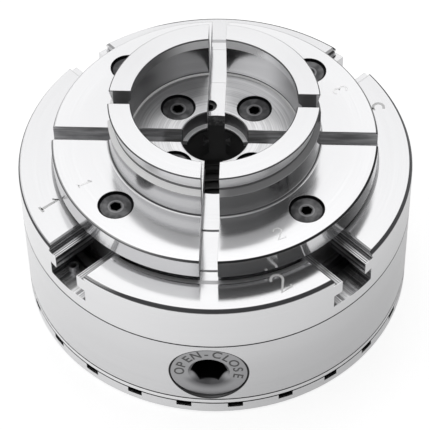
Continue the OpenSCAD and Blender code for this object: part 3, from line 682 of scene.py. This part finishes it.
def notch_shade(s):
    """Painted shade inside the index notches."""
    inside = s.below(s.radius, BODY_R - 0.6 * MM, soft=0.35 * MM)
    notches = s.times(inside, s.above(s.z, NOTCH_FLOOR_Z, soft=0.15 * MM))
    return [(notches, grey(0.03), 0.5, 1.0), seam_shade(s, COVER_Z)]


def housing_places(s):
    return [seam_shade(s, SEAM_Z, CASE_Z), pinion_bore_shade(s)]


def cover_places(s):
    return [seam_shade(s, CASE_Z, COVER_Z)]


def slot_places(s):
    """Planed walls in the front slots, their lines painted as dark and bright glints, with painted shade
    where they are deep.
    """
    lines = s.noise(s.vector(s.from_slots(), s.z, 0.0), PLANED_LINES, detail=3)
    planed = s.mix_colour(s.step(lines, 0.40, 0.62), grey(0.13), grey(0.95))
    slots = s.times(
        s.below(s.z, FACE_Z - 0.3 * MM, soft=0.15 * MM),
        s.below(s.from_slots(), SLOT_HALF, soft=0.2 * MM),
        s.below(s.radius, BODY_R - 0.3 * MM, soft=0.25 * MM),
        s.step(s.y, *SLOT_FRONT),
    )
    deep = s.times(slots, s.step(s.z, *SLOT_DEEP_Z), s.step(s.radius, *SLOT_DEEP_RADII), 0.85)
    return [(slots, planed, 0.26, 0.9), (deep, grey(0.08), 0.35, 0.9)]


def body_bore_place(s):
    """The mottled wall of the centre bore, painted lighter at its top, with painted shade below it."""
    bore = s.times(s.below(s.radius, BORE_R + 0.1 * MM, soft=0.2 * MM), s.below(s.z, FACE_Z, soft=0.6 * MM))
    spots = s.step(s.noise(s.position, scale=1100), 0.4, 0.65)
    mottled = s.mix_colour(spots, grey(0.16), grey(0.46))
    high = s.above(s.z, FACE_Z - BORE_LIGHT_DEPTH, soft=0.6 * MM)
    return bore, s.mix_colour(high, grey(0.10), mottled), 0.5, 0.2


def face_places(s):
    """Painted shade in thin lines at the steps of the face and along its rim, with a painted glint at its
    left.
    """
    steps = s.most(*[s.band(s.radius, r - STEP_HALF, r + STEP_HALF, soft=0.04 * MM) for r in LAND_RADII])
    steps = s.times(steps, s.above(s.z, FACE_Z - 0.1 * MM), 0.4)
    narrower = s.times(s.step(s.x, *RIM_THIN_LEFT), -RIM_THINNING)
    rim = s.times(
        s.band(s.z, FACE_Z - RIM_DEPTH, FACE_Z + 0.1 * MM),
        s.above(s.add(s.radius, narrower), BODY_R - RIM_W - 0.2 * MM),
    )
    glint = s.times(
        s.step(s.x, *GLINT_LEFT_END),
        s.step(s.x, *GLINT_LEFT),
        s.step(s.y, *GLINT_FRONT),
        s.band(s.z, FACE_Z - 0.6 * MM, FACE_Z - 0.15 * MM),
        rim,
    )
    return [(steps, grey(0.22), 0.4, 1.0), (rim, SHADE_TONE, 0.4, 1.0), (glint, grey(0.90), 0.3, 1.0)]


def body_places(s):
    """The front body, with a band of painted shade on its face where the edge of the jaws' flange stands
    over it.
    """
    flange_edge_shade = s.times(
        s.band(s.z, FACE_Z - 0.05 * MM, FACE_Z + 0.1 * MM),
        s.band(s.radius, FLANGE_R - 0.6 * MM, FLANGE_R + 0.5 * MM),
        0.8,
    )
    places = [(flange_edge_shade, grey(0.60), 0.5, 1.0)] + slot_places(s) + [body_bore_place(s)]
    return places + face_places(s) + [seam_shade(s, SEAM_Z)]


def thread_shade(s):
    """Painted shade on the metal inside the insert's bore."""
    return [(s.below(s.radius, THREAD_MAJOR_R, soft=0.3 * MM), grey(0.10), 0.4, 0.5)]


def pinion_shade(s):
    """Painted shade inside the key socket past its lead-in cone, below the socket, and in a line round the
    end.
    """
    away = s.from_pinion()
    inside = s.below(away, KEY_CORNER_R + 0.1 * MM, soft=0.25 * MM)
    deep = s.step(s.y, PINION_LOW.y + 0.5 * KEY_CONE_DEPTH, PINION_LOW.y + 1.4 * KEY_CONE_DEPTH)
    rim = s.above(away, PINION_R - 0.18 * MM, soft=0.12 * MM)
    low = s.step(s.above_pinion(), *KEY_SHADE_DEPTH)
    shadow = s.times(low, s.step(away, *KEY_SHADE_RADII), 0.8)
    return [
        (shadow, SHADE_TONE, 0.4, 1.0),
        (s.times(inside, deep), grey(0.03), 0.4, 1.0),
        (rim, grey(0.05), 0.4, 1.0),
    ]


def slide_shade(s):
    """Painted shade on the inner ends of the slides, in the centre hole."""
    return [(s.below(s.radius, SLIDE_END_R, soft=1 * MM), grey(0.10), 0.5, 0.2)]


def blackened():
    """Black oxide on screws, worn grey in patches, with a painted highlight round the socket, painted shade
    inside it, and fine pits.
    """
    s = Shader("black_steel", grey(0.14), 0.40)
    spots = s.noise(s.position, scale=1500, detail=3)
    wear = s.noise(s.position, scale=420)
    tone = s.mix_colour(s.step(wear, 0.35, 0.7), *OXIDE_TONES)
    rough = s.add(s.times(spots, 0.25), 0.28)
    away = s.from_screws()
    chamfer_highlight = s.times(s.band(away, SCREW_SOCKET_R + 0.1 * MM, SCREW_CHAMFER_R, soft=0.08 * MM), 0.5)
    tone = s.mix_colour(chamfer_highlight, tone, grey(0.45))
    socket = s.times(s.below(away, SCREW_SOCKET_R), s.below(s.z, SCREW_TOP_Z - 0.2 * MM, soft=0.15 * MM))
    tone = s.mix_colour(socket, tone, SOCKET_SHADE)
    return s.finish(tone, rough, spots, PIT_DEPTH, SCREW_EDGE_LIGHT)


def etched(name, light, metallic, gloss=0.45):
    """Frosted steel, as etching or engraving leaves it, duller than what is round it; it also makes the
    near-white painted highlight on the foot fillets.
    """
    s = Shader(name, (light, light, light), 0.6, metallic=metallic)
    grain = s.noise(s.position, scale=4000)
    tone = s.mix_colour(grain, (light * 0.88,) * 3, (min(1.0, light * 1.12),) * 3)
    return s.finish(tone, s.add(s.times(grain, 0.2), gloss), grain, GRAIN_DEPTH)


def dress():
    """Gives every CAD node its finish."""
    body = turned("turned_steel", grey(0.78), 0.13, 0.45, body_places)
    index = turned("index_steel", grey(0.78), 0.20, 0.45, notch_shade)
    side = turned("housing_steel", grey(0.73), 0.20, 0.45, housing_places)
    bright = turned("ground_steel", grey(0.88), 0.16, 0.4, cover_places)
    gear = turned("gear_steel", grey(0.46), 0.33, 0.3)
    pinion = turned("pinion_steel", grey(0.41), 0.38, 0.2, pinion_shade, PINION_EDGE_LIGHT)
    slide = turned("slide_steel", grey(0.50), 0.30, 0.2, slide_shade)
    pin = turned("pin_steel", grey(0.42), 0.35, 0.2)
    jaw = jaw_steel()
    black = blackened()
    finishes = {
        "front_body": body,
        "rear_housing": side,
        "gear_cover": bright,
        "index_ring": index,
        "spindle_insert": bright,
        "case_screws": black,
        "case_dowels": pin,
        "stop_pins": pin,
        "set_screw": black,
        "scroll_gear": gear,
        "bevel_pinion": pinion,
        "pinion_pin": pin,
    }
    for k in JAWS:
        finishes[f"jaw_slide_{k}"] = slide
        finishes[f"top_jaw_{k}"] = jaw
        finishes[f"jaw_screws_{k}"] = black
    for name, node in frame["nodes"].items():
        node.data.materials.clear()
        node.data.materials.append(finishes[name])


def to_mesh(bm, name):
    bmesh.ops.remove_doubles(bm, verts=bm.verts, dist=MERGE_DISTANCE)
    bmesh.ops.recalc_face_normals(bm, faces=bm.faces)
    mesh = bpy.data.meshes.new(name)
    bm.to_mesh(mesh)
    bm.free()
    return mesh


def add_object(name, data):
    """A new object in the scene."""
    obj = bpy.data.objects.new(name, data)
    bpy.context.scene.collection.objects.link(obj)
    return obj


def piece(name, bm, material, body):
    """A new mesh object that rides on a body and takes the material it is given."""
    mesh = to_mesh(bm, name)
    obj = add_object(name, mesh)
    mesh.materials.append(material)
    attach(obj, body)
    return obj


def evaluated_mesh(obj):
    """The object's mesh with its modifiers or its curve worked out."""
    bpy.context.view_layer.update()
    return bpy.data.meshes.new_from_object(obj.evaluated_get(bpy.context.evaluated_depsgraph_get()))


def foot_fillets():
    """A small fillet where the inside of each collar part meets its floor, near white as a painted
    highlight.
    """
    glint = etched("foot_highlight", 0.88, 0.3)
    bends = [math.pi / 2 * i / FILLET_STEPS for i in range(FILLET_STEPS + 1)]
    profile = [(WALL_R + FOOT_SINK, FLANGE_Z - FOOT_SINK)]
    for b in bends:
        inward, upward = FOOT_FILLET * (1 - math.cos(b)), FOOT_FILLET * (1 - math.sin(b))
        profile.append((WALL_R - inward, FLANGE_Z + upward))
    for k, slot_angle in JAWS.items():
        bm = bmesh.new()
        rings = []
        for i in range(FOOT_STEPS + 1):
            a = math.radians(slot_angle) + FOOT_ARC * (2 * i / FOOT_STEPS - 1)
            rings.append([bm.verts.new((r * math.cos(a), r * math.sin(a), z)) for r, z in profile])
        for a, b in zip(rings, rings[1:]):
            for j in range(len(profile)):
                m = (j + 1) % len(profile)
                bm.faces.new((a[j], a[m], b[m], b[j]))
        bm.faces.new(rings[0])
        bm.faces.new(rings[-1])
        piece(f"jaw_foot_{k}", bm, glint, f"jaw_{k}")


def arc(x, y, r, start, end, steps=14):
    """Points along an arc, in millimetres, with its angles in degrees."""
    turns = [math.radians(start + (end - start) * i / steps) for i in range(steps + 1)]
    return [(x + r * math.cos(a), y + r * math.sin(a)) for a in turns]


# Strokes of each numeral, NUMERAL_H high, in millimetres from the middle of its foot
NUMERALS = {
    1: [[(-1.0, 3.9), (0, 5), (0, 0)], [(-0.9, 0), (0.9, 0)]],
    2: [arc(0, 3.6, 1.4, 165, -38) + [(-1.4, 0), (1.5, 0), (1.5, 0.6)]],
    3: [arc(0, 3.8, 1.2, 150, -90) + arc(0, 1.3, 1.3, 90, -150)[1:]],
    4: [[(0.8, 0), (0.8, 5), (-1.5, 1.5), (1.6, 1.5)]],
}


def stroke(bm, points, width, place):
    """A flat stroke along the points: a thin closed strip. place turns (x, y) into a point and up."""
    sides = []
    for i, (x, y) in enumerate(points):
        before = points[max(i - 1, 0)]
        after = points[min(i + 1, len(points) - 1)]
        along = Vector((after[0] - before[0], after[1] - before[1])).normalized()
        across = Vector((-along.y, along.x)) * width / 2
        corners = []
        for side in (across, -across):
            low, up = place(x + side.x, y + side.y)
            corners += [bm.verts.new(low), bm.verts.new(low + up * MARK_H)]
        sides.append(corners)
    for a, b in zip(sides, sides[1:]):
        bm.faces.new((a[1], b[1], b[3], a[3]))
        bm.faces.new((a[0], a[2], b[2], b[0]))
        bm.faces.new((a[0], b[0], b[1], a[1]))
        bm.faces.new((a[2], a[3], b[3], b[2]))
    for c in (sides[0], sides[-1]):
        bm.faces.new((c[0], c[1], c[3], c[2]))


def numeral(bm, digit, angle, foot, radius, z, size, width):
    """Draws a numeral on a flat face, centred at a polar place, its foot towards an angle."""
    outward = Vector((math.cos(foot), math.sin(foot), 0))
    right = Vector((-outward.y, outward.x, 0))
    middle = Vector((radius * math.cos(angle), radius * math.sin(angle), z))

    def place(x, y):
        return middle + (right * x - outward * (y - NUMERAL_H / 2)) * size * MM, Vector((0, 0, 1))

    for points in NUMERALS[digit]:
        stroke(bm, points, width / size, place)


def numerals():
    """Etched numbers beside each slot and on each jaw."""
    mark = etched("etched_mark", 0.80, 0.1)
    faint = etched("faint_mark", 0.95, 1.0, 0.18)
    bm = bmesh.new()
    for k, slot_angle in JAWS.items():
        angle = math.radians(slot_angle - BODY_NUMERAL_TURN)
        foot = math.radians(slot_angle - BODY_NUMERAL_TILT)
        numeral(bm, k, angle, foot, BODY_NUMERAL_R, FACE_Z, BODY_NUMERAL_SIZE, BODY_NUMERAL_WIDTH)
    piece("slot_numerals", bm, mark, BODY)
    for k, slot_angle in JAWS.items():
        bm = bmesh.new()
        angle = math.radians(slot_angle - JAW_NUMERAL_TURN)
        numeral(bm, k, angle, angle, JAW_NUMERAL_R, FLANGE_Z, JAW_NUMERAL_SIZE, JAW_NUMERAL_WIDTH)
        piece(f"jaw_numeral_{k}", bm, faint, f"jaw_{k}")


def letter_mesh(character):
    """One capital of the built-in font as a thin solid, centred across, standing on y = 0."""
    curve = bpy.data.curves.new("letter", "FONT")
    curve.body = character
    curve.size = LEGEND_SIZE
    curve.align_x = "CENTER"
    curve.extrude = LETTER_H / 2
    curve.offset = LETTER_SWELL
    obj = add_object("letter", curve)
    mesh = evaluated_mesh(obj)
    bpy.data.objects.remove(obj)
    return mesh


def legend():
    """Words round the top of the pinion's end."""
    bm = bmesh.new()
    face = Matrix.Translation((0, PINION_LOW.y, PINION_Z)) @ Matrix.Rotation(math.radians(90), 4, "X")
    lift = Matrix.Translation((0, LEGEND_R - LEGEND_SIZE * LETTER_MIDDLE, 0))
    step = LEGEND_SPAN / (len(LEGEND) - 1)
    for i, character in enumerate(LEGEND):
        turn = Matrix.Rotation(LEGEND_SPAN / 2 - LEGEND_TURN - i * step, 4, "Z")
        mesh = letter_mesh(character)
        mesh.transform(face @ turn @ lift)
        bm.from_mesh(mesh)
        bpy.data.meshes.remove(mesh)
    piece("pinion_legend", bm, etched("engraved_letter", 0.13, 0.6), "pinion")


def thread_radius(z, turn):
    """Radius of the threaded wall at height z, at a share of a turn."""
    share = (z / THREAD_PITCH - turn) % 1.0
    for (s0, d0), (s1, d1) in zip(THREAD_FORM, THREAD_FORM[1:]):
        if share <= s1:
            depth = d0 + (d1 - d0) * (share - s0) / (s1 - s0)
            break
    cut = THREAD_MINOR_R + (THREAD_MAJOR_R - THREAD_MINOR_R) * depth
    return max(cut, THREAD_MINOR_R + z - (INSERT_Z - THREAD_LEAD))


def insert_column(turn):
    """Points of the insert's outline and of its threaded wall, at a share of a turn."""
    outline = [
        (INSERT_BODY_R, INSERT_Z),
        (INSERT_BODY_R, INSERT_FLANGE_T),
        (INSERT_R, INSERT_FLANGE_T),
        (INSERT_R, INSERT_BEVEL),
        (INSERT_R - INSERT_BEVEL, 0),
        (REGISTER_R, 0),
        (REGISTER_R, REGISTER_DEPTH),
    ]
    # The thread's turns run past both ends of the bore, and their points are held to its ends
    first = math.floor(REGISTER_DEPTH / THREAD_PITCH) - 1
    last = first + math.ceil((INSERT_Z - REGISTER_DEPTH) / THREAD_PITCH) + 3
    wall = []
    for n in range(first, last):
        for share, _ in THREAD_FORM[1:-1]:
            z = min(max((n + share + turn) * THREAD_PITCH, REGISTER_DEPTH), INSERT_Z)
            wall.append((thread_radius(z, turn), z))
    return outline, wall


def threaded_insert():
    """The spindle insert with its real helical thread in place of the plain bore."""
    bm = bmesh.new()
    columns = []
    for i in range(TURN_STEPS):
        turn = i / TURN_STEPS
        angle = 2 * math.pi * turn
        outline, wall = insert_column(turn)
        points = [(r * math.cos(angle), r * math.sin(angle), z) for r, z in outline + wall]
        columns.append([bm.verts.new(p) for p in points])
    plain = len(outline)
    for i in range(TURN_STEPS):
        a, b = columns[i], columns[(i + 1) % TURN_STEPS]
        # The last column joins the first one a pitch further on
        shift = len(THREAD_FORM) - 2 if i == TURN_STEPS - 1 else 0
        last = len(a) - 1
        for j in range(plain):
            bm.faces.new((a[j], a[j + 1], b[j + 1], b[j]))
        for j in range(plain, last):
            k = min(j + shift, last)
            m = min(j + shift + 1, last)
            if k == m:
                bm.faces.new((a[j], a[j + 1], b[k]))
            else:
                bm.faces.new((a[j], a[j + 1], b[m], b[k]))
        bm.faces.new((a[last], a[0], b[0], b[last]))
    bmesh.ops.dissolve_degenerate(bm, dist=MERGE_DISTANCE, edges=bm.edges)
    steel = turned("insert_steel", grey(0.70), 0.24, 0.4, thread_shade)
    insert = piece("threaded_insert", bm, steel, BODY)
    for quarter in range(4):
        bore_spanner_hole(insert, math.radians(45 + 90 * quarter))
    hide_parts("spindle_insert")


def bore_spanner_hole(insert, angle):
    """Cuts one blind hole for a pin spanner into the insert's rear face."""
    bm = bmesh.new()
    bmesh.ops.create_cone(
        bm,
        cap_ends=True,
        segments=SPANNER_SIDES,
        radius1=SPANNER_R,
        radius2=SPANNER_R,
        depth=2 * SPANNER_DEPTH,
        matrix=Matrix.Translation(Vector((math.cos(angle), math.sin(angle), 0)) * SPANNER_PLACE_R),
    )
    bore = bpy.data.meshes.new("spanner_bore")
    bm.to_mesh(bore)
    bm.free()
    cutter = add_object("spanner_bore", bore)
    cut = insert.modifiers.new("spanner", "BOOLEAN")
    cut.operation = "DIFFERENCE"
    cut.solver = "EXACT"
    cut.object = cutter
    baked = evaluated_mesh(insert)
    insert.modifiers.clear()
    insert.data = baked
    bpy.data.objects.remove(cutter)


def floor():
    """A pale floor, white to the camera with a soft shadow, glowing to glossy rays with painted light and a
    painted shadow by the chuck.
    """
    mesh = bpy.data.meshes.new("floor")
    corners = [(-1, -1), (1, -1), (1, 1), (-1, 1)]
    mesh.from_pydata([(FLOOR_HALF * x, FLOOR_HALF * y, 0) for x, y in corners], [], [(0, 1, 2, 3)])
    obj = add_object("floor", mesh)
    obj.location.z = -FLOOR_DROP
    material = bpy.data.materials.new("floor")
    material.use_nodes = True
    n = Nodes(material.node_tree)
    n.nodes.clear()
    output = n.nodes.new("ShaderNodeOutputMaterial")
    diffuse = n.nodes.new("ShaderNodeBsdfDiffuse")
    diffuse.inputs["Color"].default_value = (FLOOR_TONE, FLOOR_TONE, FLOOR_TONE, 1)
    glow = n.nodes.new("ShaderNodeEmission")
    rays = n.nodes.new("ShaderNodeLightPath")
    x, y, _ = n.split(n.nodes.new("ShaderNodeTexCoord").outputs["Object"])
    away = n.hypot(x, y)
    # Painted light that the steel mirrors, brighter at the left and fading far out, with a ring of painted
    # shadow by the chuck
    painted_floor_light = n.times(n.step(x, *TABLE_TURN, *TABLE_LIGHT), n.step(away, *TABLE_END))
    near = n.times(n.step(away, *NEAR_END), n.step(x, *NEAR_TURN, *NEAR_SHADE))
    painted_floor_light = n.times(painted_floor_light, n.math("SUBTRACT", 1.0, near))
    to_camera = n.times(rays.outputs["Is Camera Ray"], FLOOR_SHOWN)
    mirrored = n.times(rays.outputs["Is Glossy Ray"], painted_floor_light)
    n.links.new(n.add(to_camera, mirrored), glow.inputs["Strength"])
    both = n.nodes.new("ShaderNodeAddShader")
    n.links.new(diffuse.outputs[0], both.inputs[0])
    n.links.new(glow.outputs[0], both.inputs[1])
    n.links.new(both.outputs[0], output.inputs["Surface"])
    mesh.materials.append(material)


def world():
    """A studio with white panels at the back, the left and the top, and dark at the right."""
    made = bpy.data.worlds.new("studio")
    bpy.context.scene.world = made
    made.use_nodes = True
    n = Nodes(made.node_tree)
    x, y, z = n.split(n.nodes.new("ShaderNodeTexCoord").outputs["Generated"])
    level = n.math("SUBTRACT", 1.0, n.times(z, z))
    flat = n.math("SQRT", n.most(level, ZENITH_GUARD))
    side = n.math("DIVIDE", x, flat)
    back = n.math("DIVIDE", y, flat)
    left_panel = n.times(n.step(side, *LEFT_EDGE), n.step(z, *LEFT_RISE, end=LEFT_LIGHT))
    height = n.add(n.step(z, *BACK_RISE, end=BACK_LIGHT), n.step(z, *CREST_RISE, end=CREST_LIGHT))
    back_panel = n.times(n.step(back, *BACK_EDGE), height)
    corner = n.times(n.step(back, *CORNER_EDGE), n.step(z, *CORNER_RISE, end=CORNER_LIGHT))
    top_panel = n.times(n.step(z, *TOP_RISE), n.step(side, *TOP_TURN, *TOP_LIGHT))
    horizon = n.step(z, *HORIZON_FALL, end=HORIZON_LIGHT)
    seen = n.add(n.most(left_panel, back_panel, corner, top_panel, horizon), SKY_BASE)
    rays = n.nodes.new("ShaderNodeLightPath")
    glossy = rays.outputs["Is Glossy Ray"]
    spread = n.times(n.math("SUBTRACT", 1.0, glossy), SKY_SPREAD)
    strength = n.most(n.add(n.times(glossy, seen), spread), rays.outputs["Is Camera Ray"])
    background = n.nodes["Background"]
    background.inputs["Color"].default_value = (1, 1, 1, 1)
    n.links.new(strength, background.inputs["Strength"])


def softbox(name, azimuth, elevation, brightness):
    """A lamp that faces the chuck and isn't mirrored in it."""
    width, height = LAMP_SIZE
    light = bpy.data.lights.new(name, "AREA")
    light.shape = "RECTANGLE"
    light.size = width
    light.size_y = height
    light.energy = math.pi * width * height * brightness
    obj = add_object(name, light)
    a, e = math.radians(azimuth), math.radians(elevation)
    toward = Vector((math.cos(a) * math.cos(e), math.sin(a) * math.cos(e), math.sin(e)))
    obj.location = CAMERA_TARGET + toward * LAMP_DISTANCE
    obj.rotation_mode = "QUATERNION"
    obj.rotation_quaternion = toward.to_track_quat("Z", "Y")
    obj.visible_glossy = False


def studio():
    floor()
    world()
    for name, lamp in LAMPS.items():
        softbox(name, *lamp)


def camera():
    """The photograph's camera: a long lens, turned a little about Z and rolled."""
    turn = Matrix.Rotation(CAMERA_AZIMUTH, 3, "Z")
    e = CAMERA_ELEVATION
    back = turn @ Vector((0, -math.cos(e), math.sin(e)))
    right = turn @ Vector((1, 0, 0))
    up = back.cross(right)
    c, s = math.cos(CAMERA_ROLL), math.sin(CAMERA_ROLL)
    across = right * c + up * s
    upward = up * c - right * s
    data = bpy.data.cameras.new("camera")
    data.sensor_width = SENSOR_MM
    data.lens = FOCAL_PX / IMAGE_PX * SENSOR_MM
    data.shift_x = (IMAGE_PX / 2 - CENTRE_PX[0]) / IMAGE_PX
    data.shift_y = (CENTRE_PX[1] - IMAGE_PX / 2) / IMAGE_PX
    data.clip_start, data.clip_end = CAMERA_CLIP
    obj = add_object("camera", data)
    basis = Matrix((across, upward, back)).transposed()
    obj.matrix_world = Matrix.Translation(CAMERA_TARGET + back * CAMERA_DISTANCE) @ basis.to_4x4()
    bpy.context.scene.camera = obj


camera()
studio()
dress()
threaded_insert()
foot_fillets()
numerals()
legend()
bpy.context.scene.view_settings.view_transform = "Standard"
